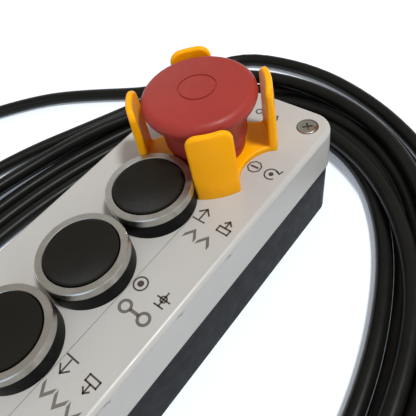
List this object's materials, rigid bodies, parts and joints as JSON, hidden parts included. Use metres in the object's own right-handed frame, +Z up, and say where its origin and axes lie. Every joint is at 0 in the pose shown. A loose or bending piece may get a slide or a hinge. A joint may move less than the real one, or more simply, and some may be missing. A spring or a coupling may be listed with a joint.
{
  "type": "pendant control station",
  "caption": "Handheld control station: a guarded emergency stop and a row of push buttons on a slim plastic box, with a long coiled cable and a round plug.",
  "frame": {"origin": "bottom centre of the enclosure's box, cable and plug left out", "axes": "+X across the box to the legend side, +Y along the box to the emergency stop, +Z up out of the button face"},
  "size_m": [0.3031, 0.3342, 0.0732],
  "materials": {
    "white_cover": "fine moulded texture, satin, slightly warm white",
    "grey_base": "charcoal moulded plastic, satin",
    "black_rubber": "matt",
    "zinc_steel": "bright zinc plate",
    "legend_film": "thin printed film",
    "black_plastic": "satin black moulding",
    "black_cap": "soft satin black",
    "satin_bezel": "satin turned metal",
    "natural_plastic": "natural nylon",
    "spring_steel": "drawn wire",
    "contact_brass": "bright brass",
    "stop_red": "satin red moulding",
    "guard_yellow": "glossy yellow moulding",
    "cable_black": "semi-matt sheath",
    "wire_insulation": "extruded insulation"
  },
  "bodies": {
    "enclosure": {"cover": "white_cover", "base_box": "grey_base", "cover_gasket": "black_rubber", "gland_seal": "black_rubber", "stop_panel_seal": "black_rubber", "up_panel_seal": "black_rubber", "common_panel_seal": "black_rubber", "down_panel_seal": "black_rubber", "cover_screws": "zinc_steel", "terminal_screws": "zinc_steel", "legend_label": "legend_film", "up_button_body": "black_plastic", "common_button_body": "black_plastic", "down_button_body": "black_plastic", "up_lock_nut": "black_plastic", "common_lock_nut": "black_plastic", "down_lock_nut": "black_plastic", "stop_lock_nut": "black_plastic", "gland_body": "black_plastic", "gland_dome_nut": "black_plastic", "gland_lock_nut": "black_plastic", "plug_insert": "black_plastic", "up_bezel": "satin_bezel", "common_bezel": "satin_bezel", "down_bezel": "satin_bezel", "plug_shell": "satin_bezel", "plug_clamp_nut": "satin_bezel", "up_contact_block": "natural_plastic", "common_contact_block": "natural_plastic", "down_contact_block": "natural_plastic", "stop_contact_block": "natural_plastic", "up_return_spring": "spring_steel", "common_return_spring": "spring_steel", "down_return_spring": "spring_steel", "stop_return_spring": "spring_steel", "fixed_contacts": "contact_brass", "stop_body": "stop_red", "stop_guard": "guard_yellow", "cable_lead": "cable_black", "cable_tail": "cable_black", "cable_coil": "cable_black", "cable_inner_end": "cable_black", "core_wires": "wire_insulation"},
    "up_button": {"up_cap": "black_cap", "up_plunger": "natural_plastic", "up_contact_bridge": "contact_brass"},
    "common_button": {"common_cap": "black_cap", "common_plunger": "natural_plastic", "common_contact_bridge": "contact_brass"},
    "down_button": {"down_cap": "black_cap", "down_plunger": "natural_plastic", "down_contact_bridge": "contact_brass"},
    "stop_slider": {"stop_plunger": "natural_plastic", "stop_contact_bridge": "contact_brass"},
    "stop_knob": {"stop_head": "stop_red"},
    "plug_ring": {"plug_coupling_ring": "satin_bezel"}
  },
  "joints": [
    {"name": "up_press", "type": "slide", "parent": "enclosure", "child": "up_button", "axis": [0, 0, -1], "range_m": [0, 0.0035], "stiffness_N_per_m": 700, "springref_m": -0.003, "deforming": ["up_return_spring"]},
    {"name": "common_press", "type": "slide", "parent": "enclosure", "child": "common_button", "axis": [0, 0, -1], "range_m": [0, 0.0035], "stiffness_N_per_m": 700, "springref_m": -0.003, "deforming": ["common_return_spring"]},
    {"name": "down_press", "type": "slide", "parent": "enclosure", "child": "down_button", "axis": [0, 0, -1], "range_m": [0, 0.0035], "stiffness_N_per_m": 700, "springref_m": -0.003, "deforming": ["down_return_spring"]},
    {"name": "stop_press", "type": "slide", "parent": "enclosure", "child": "stop_slider", "axis": [0, 0, -1], "range_m": [0, 0.005], "stiffness_N_per_m": 2500, "springref_m": -0.003, "deforming": ["stop_return_spring"]},
    {"name": "stop_twist", "type": "hinge", "parent": "stop_slider", "child": "stop_knob", "pos_m": [0, 0.0465, 0.07], "axis": [0, 0, -1], "range_deg": [0, 35], "stiffness_Nm_per_rad": 0.08},
    {"name": "plug_ring_turn", "type": "hinge", "parent": "enclosure", "child": "plug_ring", "pos_m": [-0.13731, -0.11489, 0.01012], "axis": [0.4902, -0.8715, 0.0163], "continuous": true}
  ]
}
